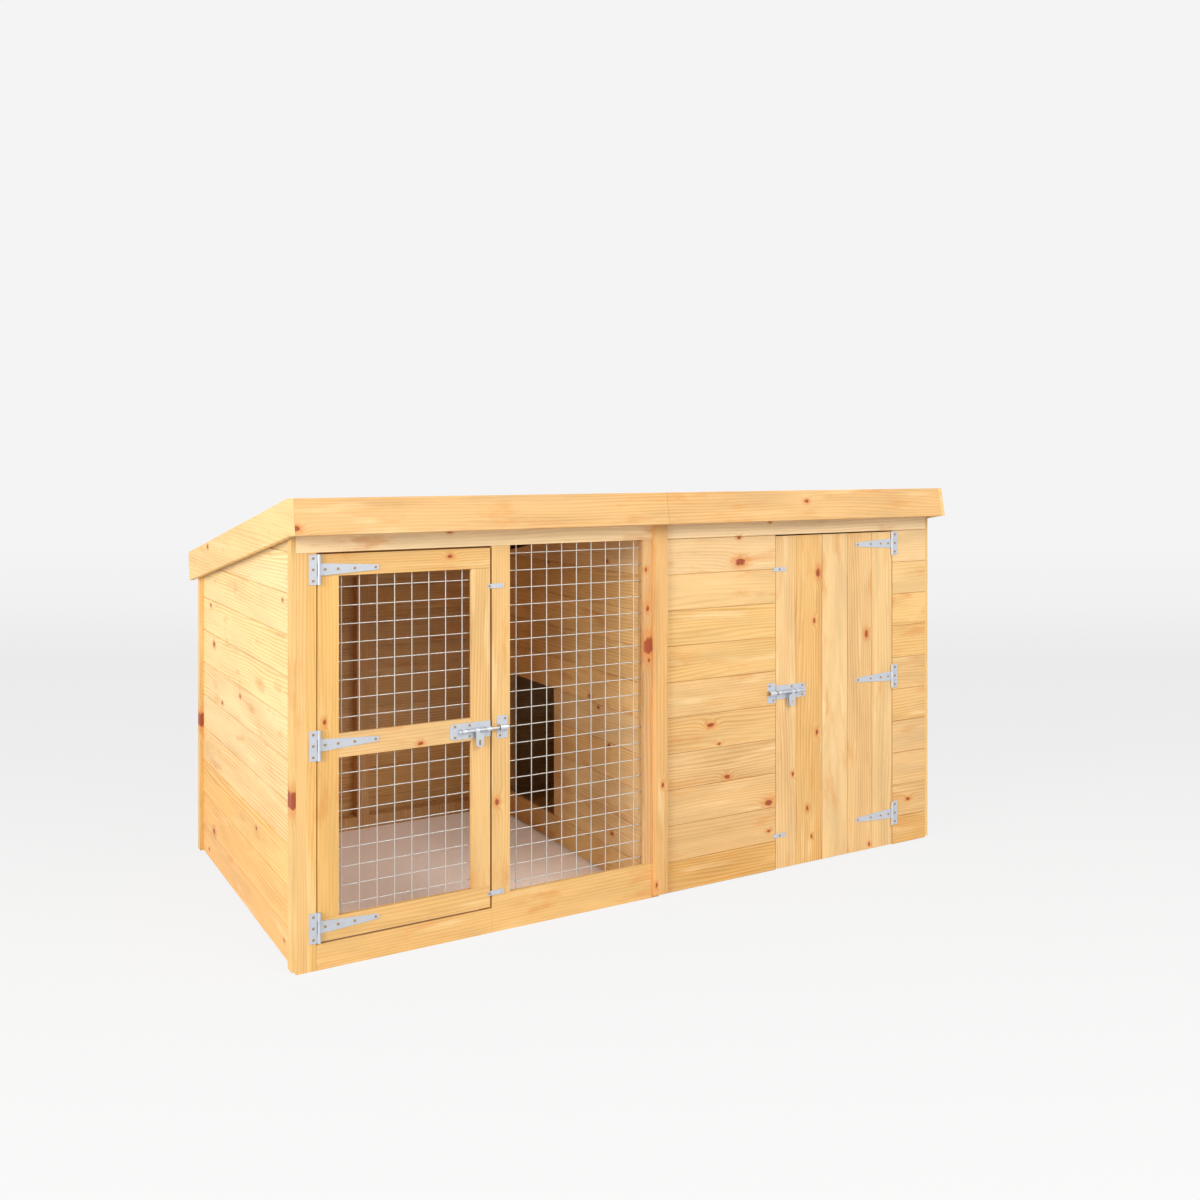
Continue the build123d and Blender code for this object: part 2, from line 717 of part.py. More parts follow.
def bolt_plate(label, end_x, toward, shift):
    plane = hinge_plane(end_x, toward, bolt_z)
    half = bolt_plate_height / 2
    with BuildPart() as plate:
        with BuildSketch(plane):
            with Locations((-bolt_plate_length / 2, 0)):
                Rectangle(bolt_plate_length, bolt_plate_height)
            far_corners = sorted(vertices(), key=lambda corner: corner.X)[:2]
            fillet(far_corners, bolt_plate_corner)
            with Locations(*[(along, up * toward) for along, up in bolt_screws]):
                Circle(shank_radius + screw_clearance, mode=Mode.SUBTRACT)
        extrude(amount=metal)
        for guide in guide_spans:
            add(arch(span(end_x, toward, guide), guide_bore, guide_bore + metal))
        ear_middle = ear_x + shift
        ear = span(end_x, toward, (ear_middle - ear_width / 2, ear_middle + ear_width / 2))
        block(ear, (-ear_lift - metal, -ear_lift), (bolt_z + ear_z[0], bolt_z + ear_z[1]))
        block(ear, (-ear_lift - metal, 0), (bolt_z + ear_z[1] - metal, bolt_z + ear_z[1]))
        with BuildSketch(plane):
            with Locations((ear_middle, padlock_z * toward)):
                Circle(ear_hole_radius)
        extrude(amount=ear_lift + 2 * metal, mode=Mode.SUBTRACT)
    save(plate, label)


def bolt_rod(label, end_x, toward, shift):
    low, high = span(end_x, toward, (rod_tail + shift, rod_tip + shift))
    with BuildPart() as rod:
        rod_plane = Plane(origin=house(low, -bolt_standoff, bolt_z), x_dir=(0, 1, 0), z_dir=(1, 0, 0))
        with BuildSketch(rod_plane):
            Circle(rod_radius)
        extrude(amount=high - low)
        chamfer(rod.edges().filter_by(GeomType.CIRCLE), rod_chamfer)
    save(rod, label)


def bolt_lug(label, end_x, toward, shift):
    """A collar that turns on the rod, with a flat tongue and its padlock slot."""
    x = span(end_x, toward, (lug_span[0] + shift, lug_span[1] + shift))
    collar = span(end_x, toward, (lug_span[0] + shift, lug_span[0] + shift + lug_collar))
    middle = (lug_span[0] + lug_span[1]) / 2 + shift
    half = (x[1] - x[0]) / 2
    front = bolt_standoff + lug_collar_radius
    low_z = -lug_drop + half
    collar_plane = Plane(origin=house(collar[0], -bolt_standoff, bolt_z), x_dir=(0, 1, 0), z_dir=(1, 0, 0))
    tongue_plane = hinge_plane(end_x, toward, bolt_z).offset(front)
    with BuildPart() as lug:
        with BuildSketch(collar_plane):
            Circle(lug_collar_radius)
        extrude(amount=lug_collar)
        block(collar, (-front, metal - front), (bolt_z - lug_neck - 1, bolt_z))
        with BuildSketch(tongue_plane):
            with Locations((middle, (low_z - lug_neck) / 2 * toward)):
                Rectangle(2 * half, -low_z - lug_neck)
            with Locations((middle, low_z * toward)):
                Circle(half)
            with Locations((middle, padlock_z * toward)):
                SlotOverall(padlock_slot_length, padlock_slot_width, rotation=90, mode=Mode.SUBTRACT)
        extrude(amount=-metal)
        with BuildSketch(collar_plane):
            Circle(rod_radius + pin_clearance)
        extrude(amount=lug_collar, mode=Mode.SUBTRACT)
    save(lug, label)


bolt_plate("run_bolt_plate", run_door_x[1], 1, 0)
bolt_plate("kennel_bolt_plate", kennel_door_x[0], -1, kennel_rod_shift)
bolt_rod("run_bolt_rod", run_door_x[1], 1, 0)
bolt_rod("kennel_bolt_rod", kennel_door_x[0], -1, kennel_rod_shift)
bolt_lug("run_bolt_lug", run_door_x[1], 1, 0)
bolt_lug("kennel_bolt_lug", kennel_door_x[0], -1, kennel_rod_shift)

with BuildPart() as bolt_keeps:
    keeps = ((run_door_x[1], 1, run_keep_start), (kennel_door_x[0], -1, kennel_keep_start))
    for end_x, toward, start in keeps:
        with BuildSketch(hinge_plane(end_x, toward, bolt_z)):
            with Locations((start + keep_width / 2, 0)):
                Rectangle(keep_width, keep_height)
            with Locations((start + keep_width / 2, 0)):
                Rectangle(keep_width, 2 * keep_bore, mode=Mode.SUBTRACT)
            with Locations(*[(start + along, up * toward) for along, up in keep_screws]):
                Circle(shank_radius + screw_clearance, mode=Mode.SUBTRACT)
        extrude(amount=metal)
        loop_span = span(end_x, toward, (start + keep_arch[0], start + keep_arch[1]))
        add(arch(loop_span, keep_bore, keep_bore + metal))
save(bolt_keeps, "bolt_keeps")


# Turn buttons: flat strips that turn on one screw and lap over the gap
def turn_button(label, pivot_x, start, height):
    back = house(pivot_x, -button_lift, height)
    with BuildPart() as button:
        with BuildSketch(Plane(origin=back, x_dir=(1, 0, 0), z_dir=(0, -1, 0))):
            with Locations((start + button_length / 2, 0)):
                Rectangle(button_length, button_width)
            fillet(vertices(), button_corner)
            Circle(shank_radius + pin_clearance, mode=Mode.SUBTRACT)
            with Locations((start + button_length / 2 + spare_hole_offset, 0)):
                Circle(spare_hole_radius, mode=Mode.SUBTRACT)
        extrude(amount=button_metal)
    save(button, label)


for place, height in zip(("lower", "upper"), button_heights):
    turn_button(f"run_turn_button_{place}", run_button_pivot, run_button_start, height)
    turn_button(f"kennel_turn_button_{place}", kennel_button_pivot, kennel_button_start, height)


# Run door: face battens, mesh and back battens
run_flat_planes = screw_planes(run_door_flat_screws, metal)
run_button_planes = screw_planes(run_door_button_screws, button_front)
inner_x = (run_door_x[0] + door_stile, run_door_x[1] - door_stile)
with BuildPart() as run_door_stiles:
    for x in ((run_door_x[0], inner_x[0]), (inner_x[1], run_door_x[1])):
        block(x, face_y, (bottom_rail_top + hairline, top_rail_bottom - hairline))
    with BuildSketch(*run_flat_planes, *run_button_planes):
        Circle(shank_radius)
    extrude(amount=-drilled, mode=Mode.SUBTRACT)
save(run_door_stiles, "run_door_stiles")

with BuildPart() as run_door_rails:
    block(run_door_x, face_y, (top_rail_bottom, run_door_z[1]))
    block(run_door_x, face_y, (run_door_z[0], bottom_rail_top))
    block((inner_x[0] + hairline, inner_x[1] - hairline), face_y, mid_rail_z)
    with BuildSketch(*run_flat_planes, *run_button_planes):
        Circle(shank_radius)
    extrude(amount=-drilled, mode=Mode.SUBTRACT)
save(run_door_rails, "run_door_rails")

batten_y = (frame_y[0], frame_y[0] + back_batten)
batten_left = (run_door_x[0] + back_batten_hinge_side, inner_x[0] - back_batten_setback)
batten_right = (inner_x[1] + back_batten_setback, run_door_x[1] - back_batten_lock_side)
with BuildPart() as run_door_back_battens:
    for x in (batten_left, batten_right):
        block(x, batten_y, (run_door_z[0], run_door_z[1] - 1))
    for low, high in ((run_door_z[0], bottom_rail_top - back_batten_setback),
                      (mid_rail_z[0] + mid_batten_inset, mid_rail_z[1] - mid_batten_inset),
                      (top_rail_bottom + back_batten_setback, run_door_z[1] - 1)):
        block((batten_left[1] + hairline, batten_right[0] - hairline), batten_y, (low, high))
save(run_door_back_battens, "run_door_back_battens")

screws("run_door_screws", [run_flat_planes])
screws("run_button_screws", [run_button_planes])


# Kennel door: upright boards on three ledges with braces between them
kennel_flat_planes = screw_planes(kennel_door_flat_screws, metal)
kennel_button_planes = screw_planes(kennel_door_button_screws, button_front)
door_joints = [kennel_door_first_joint + board_cover * number for number in range(4)]
door_edges = [kennel_door_x[0]] + door_joints + [kennel_door_x[1]]
door_boards_plane = Plane(origin=house(0, cladding, kennel_door_z[1]), x_dir=(1, 0, 0), z_dir=(0, 0, -1))
with BuildPart() as kennel_door_boards:
    add(boarded(door_boards_plane, kennel_door_z[1] - kennel_door_z[0], door_edges))
    with BuildSketch(*kennel_flat_planes, *kennel_button_planes):
        Circle(shank_radius)
    extrude(amount=-drilled, mode=Mode.SUBTRACT)
save(kennel_door_boards, "kennel_door_boards")

ledge_ends = (18.0, 16.0)
ledge_x = (kennel_door_x[0] + ledge_ends[0], kennel_door_x[1] - ledge_ends[1])
ledge_y = (cladding + close_gap, cladding + close_gap + ledge)
ledges = [(height - ledge_height / 2, height + ledge_height / 2) for height in hinge_heights]
with BuildPart() as kennel_door_ledges:
    for z in ledges:
        block(ledge_x, ledge_y, z)
save(kennel_door_ledges, "kennel_door_ledges")

brace_width = 70.0
with BuildPart() as kennel_door_braces:
    for low, high in zip(ledges, ledges[1:]):
        with BuildSketch(Plane(origin=house(0, ledge_y[1], 0), x_dir=(1, 0, 0), z_dir=(0, -1, 0))):
            bottom = low[1] + hairline
            top = high[0] - hairline
            Polygon((ledge_x[1] - brace_width, bottom), (ledge_x[1], bottom),
                    (ledge_x[0] + brace_width, top), (ledge_x[0], top), align=None)
        extrude(amount=ledge)
save(kennel_door_braces, "kennel_door_braces")

screws("kennel_door_screws", [kennel_flat_planes])
screws("kennel_button_screws", [kennel_button_planes])
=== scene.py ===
import math

import bpy
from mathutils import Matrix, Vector


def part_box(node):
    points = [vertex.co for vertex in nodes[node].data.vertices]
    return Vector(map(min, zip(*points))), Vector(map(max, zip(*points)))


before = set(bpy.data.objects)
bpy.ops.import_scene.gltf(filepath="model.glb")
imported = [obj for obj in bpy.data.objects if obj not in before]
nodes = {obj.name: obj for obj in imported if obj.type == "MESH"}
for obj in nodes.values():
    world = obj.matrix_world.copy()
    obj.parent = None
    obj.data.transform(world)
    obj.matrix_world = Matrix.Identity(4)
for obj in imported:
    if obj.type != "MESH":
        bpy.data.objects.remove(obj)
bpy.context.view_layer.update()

# House positions in metres: x from the outer left face, y from the front face, z from the ground
middle_x = 1.150
middle_y = -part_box("run_header")[0].y
first_joint = 0.0975
board_cover = 0.1125
door_first_joint = 1.697


def house(x, y, z):
    return (x - middle_x, y - middle_y, z)


# Node building: a small graph writer, where a link or a number can go into any socket
class Graph:
    def __init__(self, name):
        self.material = bpy.data.materials.new(name)
        self.material.use_nodes = True
        self.tree = self.material.node_tree
        self.tree.nodes.clear()

    def node(self, kind, settings=None, **inputs):
        made = self.tree.nodes.new(kind)
        for key, value in (settings or {}).items():
            setattr(made, key, value)
        for key, value in inputs.items():
            self.feed(made.inputs[key.replace("_", " ")], value)
        return made

    def feed(self, socket, value):
        if isinstance(value, bpy.types.NodeSocket):
            self.tree.links.new(value, socket)
        else:
            socket.default_value = value

    def math(self, operation, first, second=0.0, third=None, clamp=False):
        made = self.tree.nodes.new("ShaderNodeMath")
        made.operation = operation
        made.use_clamp = clamp
        self.feed(made.inputs[0], first)
        self.feed(made.inputs[1], second)
        if third is not None:
            self.feed(made.inputs[2], third)
        return made.outputs[0]

    def plus(self, first, second, clamp=False):
        return self.math("ADD", first, second, clamp=clamp)

    def minus(self, first, second):
        return self.math("SUBTRACT", first, second)

    def times(self, first, second):
        return self.math("MULTIPLY", first, second)

    def divide(self, first, second):
        return self.math("DIVIDE", first, second)

    def combine(self, x, y, z):
        return self.node("ShaderNodeCombineXYZ", X=x, Y=y, Z=z).outputs[0]

    def noise(self, vector, scale, detail=2.0, roughness=0.5):
        made = self.node("ShaderNodeTexNoise", Vector=vector, Scale=scale, Detail=detail,
                         Roughness=roughness)
        return made.outputs["Fac"]

    def cells(self, vector, scale, **inputs):
        """Voronoi cells, each with a random number of its own: the node, and that number."""
        made = self.node("ShaderNodeTexVoronoi", {"feature": "F1"}, Vector=vector, Scale=scale, **inputs)
        return made, self.node("ShaderNodeSeparateColor", Color=made.outputs["Color"]).outputs[0]

    def mix(self, factor, first, second):
        made = self.tree.nodes.new("ShaderNodeMix")
        made.data_type = "RGBA"
        self.feed(made.inputs[0], factor)
        self.feed(made.inputs[6], first)
        self.feed(made.inputs[7], second)
        return made.outputs[2]

    def mix_shaders(self, kind, *values):
        made = self.node(kind)
        for socket, value in zip(made.inputs, values):
            self.feed(socket, value)
        return made.outputs[0]

    def smooth(self, value, low, high, to_low=0.0, to_high=1.0):
        made = self.tree.nodes.new("ShaderNodeMapRange")
        made.interpolation_type = "SMOOTHSTEP"
        for socket, number in zip(made.inputs, (value, low, high, to_low, to_high)):
            self.feed(socket, number)
        return made.outputs[0]

    def white_noise(self, value, extra):
        made = self.tree.nodes.new("ShaderNodeTexWhiteNoise")
        made.noise_dimensions = "2D"
        self.feed(made.inputs["Vector"], self.combine(value, extra, 0.0))
        return made.outputs["Value"]

    def finish(self, shader):
        output = self.tree.nodes.new("ShaderNodeOutputMaterial")
        self.tree.links.new(shader, output.inputs["Surface"])
        return self.material


def color(red, green, blue):
    """A colour written as it shows on screen, 0 to 255, as the shader's linear values."""
    def linear(value):
        value = value / 255
        return value / 12.92 if value <= 0.04045 else ((value + 0.055) / 1.055) ** 2.4
    return (linear(red), linear(green), linear(blue), 1.0)


# Pine
axis_number = {"x": 0, "y": 1, "z": 2}
resin_color = color(214, 146, 76)
pale_color = color(252, 226, 176)
halo_color = color(212, 134, 66)
knot_color = color(150, 60, 38)

# The most that chance moves a board's grain along it, in metres, and how far the grain leans with depth
board_shift = 37.0
depth_lean = 0.6

# Noises over a board: scale along the grain, scale across it, step from board to board, detail, roughness
wander_noise = (0.9, 7.0, 5.3, 2.0, 0.5)
strength_noise = (1.6, 9.0, 2.1, 2.0, 0.5)
stain_noise = (2.2, 14.0, 1.0, 4.0, 0.6)
resin_noise = (5.5, 20.0, 4.3, 4.0, 0.6)
pale_noise = (3.1, 30.0, 1.3, 3.0, 0.5)
halo_noise = (60.0, 90.0, 0.0, 3.0, 0.5)
fibre_along = 5.0
fibre_across = 260.0
ragged_along = 55.0
ragged_across = 95.0

# Scattered knots: cells along and across the grain, the step from board to board, a knot's radius in cells,
# and a distance that hides the cells without a knot
knot_cells_along = 2.6
knot_cells_across = 7.5
knot_cells_step = 3.7
scattered_radius = 0.075
out_of_sight = 5.0

# The photograph's knots: their length is divided by these for half of it, and for half of their width
length_to_half = 2
length_to_half_width = 3.4

# Rings: how far they wander and swell round a knot, in rings, and how fast the swelling falls off
ring_wander = 7.5
ring_swell = 1.9
swell_fall = -0.16

# Smooth steps: a value's low and high, then what they become, which is 0 and 1 where it isn't given
late_rise = (0.15, 0.85)
late_fall = (1.0, 0.88)
strength_step = (0.3, 0.75, 0.16, 0.85)
stain_step = (0.38, 0.72, 1.03, 0.87)
resin_step = (0.54, 0.74, 0.0, 0.55)
pale_step = (0.56, 0.76, 0.0, 0.40)
halo_step = (3.2, 0.8)
halo_strength_step = (0.2, 0.7, 0.35, 0.85)
core_step = (1.35, 0.95)
rough_step = (0.0, 1.0, 0.62, 0.50)

# How strongly each part of the wood shows. tone_seed keeps a board's tone apart from its shift
ragged_strength = 1.5
fibre_strength = 0.42
saturation_low = 0.94
saturation_spread = 0.14
tone_seed = 5.1
core_uneven = 0.35
core_strength = 0.88
late_height = -0.5
core_height = 0.6


def pine(name, along, across, start, cover, light, dark, spread=0.06, knots=(), knot_chance=0.35, ring=0.011,
         seed=0.0, tones=()):
    """Planed pine. Boards are told apart every cover metres from start, and each has its own tone and rings.

    knot_chance scatters knots. knots are (along, across, length) in metres, where the photograph shows them.
    tones are (board, shift), and a positive shift takes that board towards the dark tone."""
    g = Graph(name)
    place = g.node("ShaderNodeTexCoord").outputs["Object"]
    split = g.node("ShaderNodeSeparateXYZ", Vector=place)
    run = split.outputs[axis_number[along]]
    over = split.outputs[axis_number[across]]
    deep = split.outputs[3 - axis_number[along] - axis_number[across]]
    board = g.math("FLOOR", g.divide(g.minus(over, start), cover))
    chance = g.white_noise(board, seed)
    along_board = g.plus(run, g.times(chance, board_shift))
    over_board = g.plus(over, g.times(deep, depth_lean))

    def stretched(along_scale, across_scale, third):
        return g.combine(g.times(along_board, along_scale), g.times(over_board, across_scale), third)

    def board_noise(along_scale, across_scale, step, detail, roughness):
        return g.noise(stretched(along_scale, across_scale, g.times(board, step)), 1.0, detail, roughness)

    # Scattered knots, which the photograph doesn't show
    cell_third = g.plus(g.times(board, knot_cells_step), seed)
    cell_place = stretched(knot_cells_along, knot_cells_across, cell_third)
    cells, cell_chance = g.cells(cell_place, 1.0, Randomness=0.9)
    has_knot = g.math("LESS_THAN", cell_chance, knot_chance)
    scattered = g.plus(cells.outputs["Distance"], g.times(g.minus(1.0, has_knot), out_of_sight))
    knot_distance = g.divide(scattered, scattered_radius)

    # Knots that the photograph shows
    for knot_along, knot_across, length in knots:
        long_way = g.divide(g.minus(run, knot_along), length / length_to_half)
        wide_way = g.divide(g.minus(over, knot_across), length / length_to_half_width)
        square = g.plus(g.times(long_way, long_way), g.times(wide_way, wide_way))
        knot_distance = g.math("MINIMUM", knot_distance, g.math("SQRT", square))

    # A ragged outline for both kinds
    ragged_place = g.combine(g.times(run, ragged_along), g.times(over, ragged_across), seed)
    ragged = g.noise(ragged_place, 1.0, 3.0, 0.6)
    knot_distance = g.plus(knot_distance, g.times(g.minus(ragged, 0.5), ragged_strength))
    knot_distance = g.math("MAXIMUM", knot_distance, 0.0)

    # Rings: nearly straight lines that wander slowly, and swell round each knot
    wander = board_noise(*wander_noise)
    swell = g.math("EXPONENT", g.times(g.times(knot_distance, knot_distance), swell_fall))
    ring_place = g.plus(g.divide(over_board, ring), g.times(wander, ring_wander))
    ring_place = g.plus(ring_place, g.times(swell, ring_swell))
    saw = g.math("FRACT", ring_place)
    late = g.times(g.smooth(saw, *late_rise), g.smooth(saw, *late_fall))
    strength = g.smooth(board_noise(*strength_noise), *strength_step)
    fibre_place = stretched(fibre_along, fibre_across, g.times(deep, fibre_across))
    fibre = g.noise(fibre_place, 1.0, 3.0, 0.6)
    fibres = g.times(g.minus(fibre, 0.5), fibre_strength)
    grain = g.plus(g.times(late, strength), fibres, clamp=True)
    # Listed shifts for single boards: the kennel door's are its boards' own tones, while the front and side
    # walls' are painted shade low down and painted light high up
    for number, amount in tones:
        same = g.math("COMPARE", board, float(number), 0.5)
        grain = g.plus(grain, g.times(same, amount))
    tone = g.mix(g.math("MAXIMUM", g.math("MINIMUM", grain, 1.0), 0.0), color(*light), color(*dark))

    # Each board's own tone, and slow stains along it
    value = g.plus(1.0 - spread, g.times(g.white_noise(board, seed + tone_seed), 2 * spread))
    stain = g.smooth(board_noise(*stain_noise), *stain_step)
    saturation = g.plus(saturation_low, g.times(chance, saturation_spread))
    wood = g.node("ShaderNodeHueSaturation", Hue=0.5, Color=tone, Saturation=saturation,
                  Value=g.times(value, stain)).outputs[0]

    # Honey coloured patches along the grain, then pale ones
    wood = g.mix(g.smooth(board_noise(*resin_noise), *resin_step), wood, resin_color)
    wood = g.mix(g.smooth(board_noise(*pale_noise), *pale_step), wood, pale_color)

    # A halo round each knot, then the knot itself
    halo = g.smooth(knot_distance, *halo_step)
    uneven = board_noise(*halo_noise)
    wood = g.mix(g.times(halo, g.smooth(uneven, *halo_strength_step)), wood, halo_color)
    core = g.smooth(g.plus(knot_distance, g.times(uneven, core_uneven)), *core_step)
    wood = g.mix(g.times(core, core_strength), wood, knot_color)

    bump_height = g.plus(g.times(late, late_height), g.plus(fibre, g.times(core, core_height)))
    bump = g.node("ShaderNodeBump", Strength=0.16, Distance=0.0012, Height=bump_height).outputs[0]
    rough = g.smooth(grain, *rough_step)
    shader = g.node("ShaderNodeBsdfPrincipled", Base_Color=wood, Roughness=rough, Normal=bump)
    shader.inputs["Specular IOR Level"].default_value = 0.30
    return g.finish(shader.outputs[0])


# Zinc plated and galvanised steel
crystals_per_spangle = 6
crystal_share = 0.4
cloud_share = 0.6
shade = 0.80
scuff_stretch = (40.0, 40.0, 700.0)
wear_step = (0.2, 0.8)
smoother = 0.08
rougher = 0.14


def zinc(name, base=(206, 212, 222), spangle=38.0, rough=0.42, contrast=0.5):
    g = Graph(name)
    place = g.node("ShaderNodeTexCoord").outputs["Object"]
    crystal = g.cells(place, spangle * crystals_per_spangle, Randomness=1.0)[1]
    cloud = g.noise(place, spangle, 3.0)
    blotch = g.plus(g.times(crystal, crystal_share), g.times(cloud, cloud_share))
    darker = tuple(round(part * shade) for part in base)
    tone = g.mix(g.times(blotch, contrast), color(*base), color(*darker))
    scuffs = g.noise(g.node("ShaderNodeMapping", Vector=place, Scale=scuff_stretch).outputs[0], 1.0, 3.0)
    wear = g.plus(g.times(crystal, 0.5), g.times(scuffs, 0.5))
    roughness = g.smooth(wear, *wear_step, rough - smoother, rough + rougher)
    bump = g.node("ShaderNodeBump", Strength=0.12, Distance=0.0004, Height=g.plus(cloud, scuffs)).outputs[0]
    shader = g.node("ShaderNodeBsdfPrincipled", Base_Color=tone, Roughness=roughness, Normal=bump)
    shader.inputs["Metallic"].default_value = 0.55
    return g.finish(shader.outputs[0])


def felt(name):
    g = Graph(name)
    place = g.node("ShaderNodeTexCoord").outputs["Object"]
    grit = g.noise(place, 900.0, 2.0, 0.7)
    chip = g.cells(place, 520.0)[1]
    wear = g.noise(place, 3.0, 4.0)
    tone = g.mix(chip, color(66, 70, 68), color(112, 116, 112))
    tone = g.mix(g.smooth(wear, 0.3, 0.7, 0.0, 0.35), tone, color(90, 92, 88))
    bump = g.node("ShaderNodeBump", Strength=0.6, Distance=0.0012, Height=g.plus(grit, chip)).outputs[0]
    shader = g.node("ShaderNodeBsdfPrincipled", Base_Color=tone, Normal=bump)
    shader.inputs["Roughness"].default_value = 0.95
    return g.finish(shader.outputs[0])


def dress(material, *names):
    for name in names:
        node = nodes[name]
        node.data.materials.clear()
        node.data.materials.append(material)


middles = {"x": 1150.0, "y": 1000 * middle_y, "z": 0.0}


def marks(along, across, *spots):
    """Knots given in house millimetres, moved to the frame's metres."""
    a_middle = middles[along]
    b_middle = middles[across]
    return [((a - a_middle) / 1000, (b - b_middle) / 1000, length / 1000) for a, b, length in spots]


# Boards: those of the walls and the kennel door are numbered from ten below their first joint, so that the
# lowest or leftmost is number 9
boards_below = 10
level_joint = first_joint - boards_below * board_cover
door_joint = door_first_joint - middle_x - boards_below * board_cover
roof_joint = -1.157
floor_joint = -0.52
front_knots = marks("x", "z", (1464, 1028, 38), (1459, 1106, 14), (1345, 511, 24), (1411, 337, 22),
                    (1580, 229, 30), (1580, 136, 15), (1379, 447, 12), (2204, 153, 18), (1585, 1155, 13))
door_knots = marks("z", "x", (978, 1791, 30), (816, 1773, 15), (439, 1785, 18), (754, 2008, 26),
                   (310, 1681, 15), (187, 1744, 18), (21, 2020, 15), (89, 1762, 14))
side_knots = marks("y", "z", (977, 742, 26), (857, 567, 18), (614, 630, 18), (977, 116, 30), (415, 277, 17),
                   (1053, 35, 15), (115, 52, 15), (131, 975, 15), (1028, 867, 18))
partition_knots = marks("y", "z", (251, 1027, 18), (669, 992, 18), (360, 564, 18), (305, 538, 14),
                        (234, 424, 17), (216, 142, 17))
# Shifts for the front and side walls' boards: the lower boards darker and the upper ones lighter, which is
# painted shade near the ground and painted light higher up
front_painted_shading = ((9, 0.45), (10, 0.3), (11, 0.25), (12, 0.25), (13, 0.2), (14, 0.2), (15, 0.1), (17, -0.2),
               (18, -0.2))
side_painted_shading = ((9, 0.75), (10, 0.6), (11, 0.45), (12, 0.3), (13, 0.2), (14, 0.1), (16, -0.1), (17, -0.1))
door_tones = ((9, 0.1), (10, 0.2), (11, -0.3), (12, 0.1), (13, -0.25))
# The header boards under the fascia get a paler pine than the boards below: painted light that makes up for
# the fascia's shade
header_painted_light_colors = ((250, 220, 172), (232, 190, 136))
inner_colors = ((232, 190, 128), (208, 148, 84))
few_knots = 0.04

kennel_front = pine("pine_kennel_front", "x", "z", level_joint, board_cover, (233, 196, 140), (210, 158, 92),
                    spread=0.015, knots=front_knots, knot_chance=few_knots, seed=1.0, tones=front_painted_shading)
dress(kennel_front, "kennel_front_boards_left", "kennel_front_boards_right")
kennel_header = pine("pine_kennel_header", "x", "z", level_joint, board_cover, *header_painted_light_colors, spread=0.015,
                     knots=front_knots, knot_chance=few_knots, seed=21.0)
dress(kennel_header, "kennel_header_board")
kennel_door = pine("pine_kennel_door", "z", "x", door_joint, board_cover, (232, 194, 134), (208, 152, 86),
                   spread=0.015, knots=door_knots, knot_chance=few_knots, seed=2.0, tones=door_tones)
dress(kennel_door, "kennel_door_boards")
# The side walls get a paler pine than the front walls: painted light for the side faces that the lamp from
# the left lights
side_boards = pine("pine_side_boards", "y", "z", level_joint, board_cover, (244, 218, 164), (232, 174, 98),
                   spread=0.02, knots=side_knots, knot_chance=few_knots, seed=3.0, tones=side_painted_shading)
dress(side_boards, "left_wall_boards", "right_wall_boards")
back_boards = pine("pine_back_boards", "x", "z", level_joint, board_cover, (230, 188, 134), (206, 152, 94),
                   seed=4.0)
dress(back_boards, "back_wall_boards")
partition = pine("pine_partition", "y", "z", level_joint, board_cover, (248, 210, 154), (230, 178, 116),
                 spread=0.04, knots=partition_knots, knot_chance=few_knots, seed=5.0)
dress(partition, "partition_boards")
roof_boards = pine("pine_roof_boards", "y", "x", roof_joint, board_cover, *inner_colors, seed=6.0)
dress(roof_boards, "roof_boards")
floor_boards = pine("pine_floor_boards", "x", "y", floor_joint, board_cover, *inner_colors, seed=7.0)
dress(floor_boards, "kennel_floor_boards")

# Trim: pieces get tones of their own where a cover ends between them. The widest take a piece as one board
trim_start = -3.0
upright_cover = 0.21
level_cover = 0.23
header_cover = 0.43
fascia_cover = 3.0
one_board = 9.0
trim_colors = ((229, 188, 126), (210, 158, 96))
trim_ring = 0.009
stile_knots = marks("z", "x", (658, 89, 16), (373, 595, 20))
rail_knots = marks("x", "z", (449, 1086, 16), (361, 569, 16), (449, 1156, 13))
corner_knots = marks("z", "x", (458, 6, 44))
fascia_knots = marks("x", "z", (1700, 1222, 18), (-5, 1180, 22))
barge_knots = marks("y", "z", (910, 1074, 18))
right_stile_knots = marks("z", "x", (782, 1111, 56), (898, 1109, 18), (1018, 1102, 14), (738, 1113, 14))
cover_strip_knots = marks("z", "x", (347, 1156, 15), (41, 1134, 13))

upright_trim = pine("pine_upright_trim", "z", "x", trim_start, upright_cover, *trim_colors, spread=0.03,
                    knots=stile_knots, knot_chance=0.03, ring=trim_ring, seed=8.0)
dress(upright_trim, "run_left_stile", "run_mullion", "run_door_stiles")
corner_trim = pine("pine_corner_trim", "z", "x", trim_start, one_board, (232, 196, 138), (214, 164, 102),
                   spread=0.02, knots=corner_knots, knot_chance=0.03, ring=trim_ring, seed=18.0)
dress(corner_trim, "corner_trims")
level_trim = pine("pine_level_trim", "x", "z", trim_start, level_cover, *trim_colors, spread=0.03,
                  knots=rail_knots, knot_chance=0.03, ring=trim_ring, seed=9.0)
dress(level_trim, "run_door_sill", "run_panel_rail", "run_door_rails")
run_header = pine("pine_run_header", "x", "z", trim_start, header_cover, *header_painted_light_colors, spread=0.02,
                  knots=rail_knots, knot_chance=0.03, ring=trim_ring, seed=19.0)
dress(run_header, "run_header")
fascia = pine("pine_fascia", "x", "z", trim_start, fascia_cover, (229, 189, 136), (211, 158, 98),
              spread=0.03, knots=fascia_knots, knot_chance=0.05, seed=10.0)
dress(fascia, "fascia_left", "fascia_right")
barge = pine("pine_barge", "y", "z", trim_start, one_board, (244, 208, 148), (228, 178, 112), spread=0.03,
             knots=barge_knots, knot_chance=0.05, seed=11.0)
dress(barge, "barge_boards")
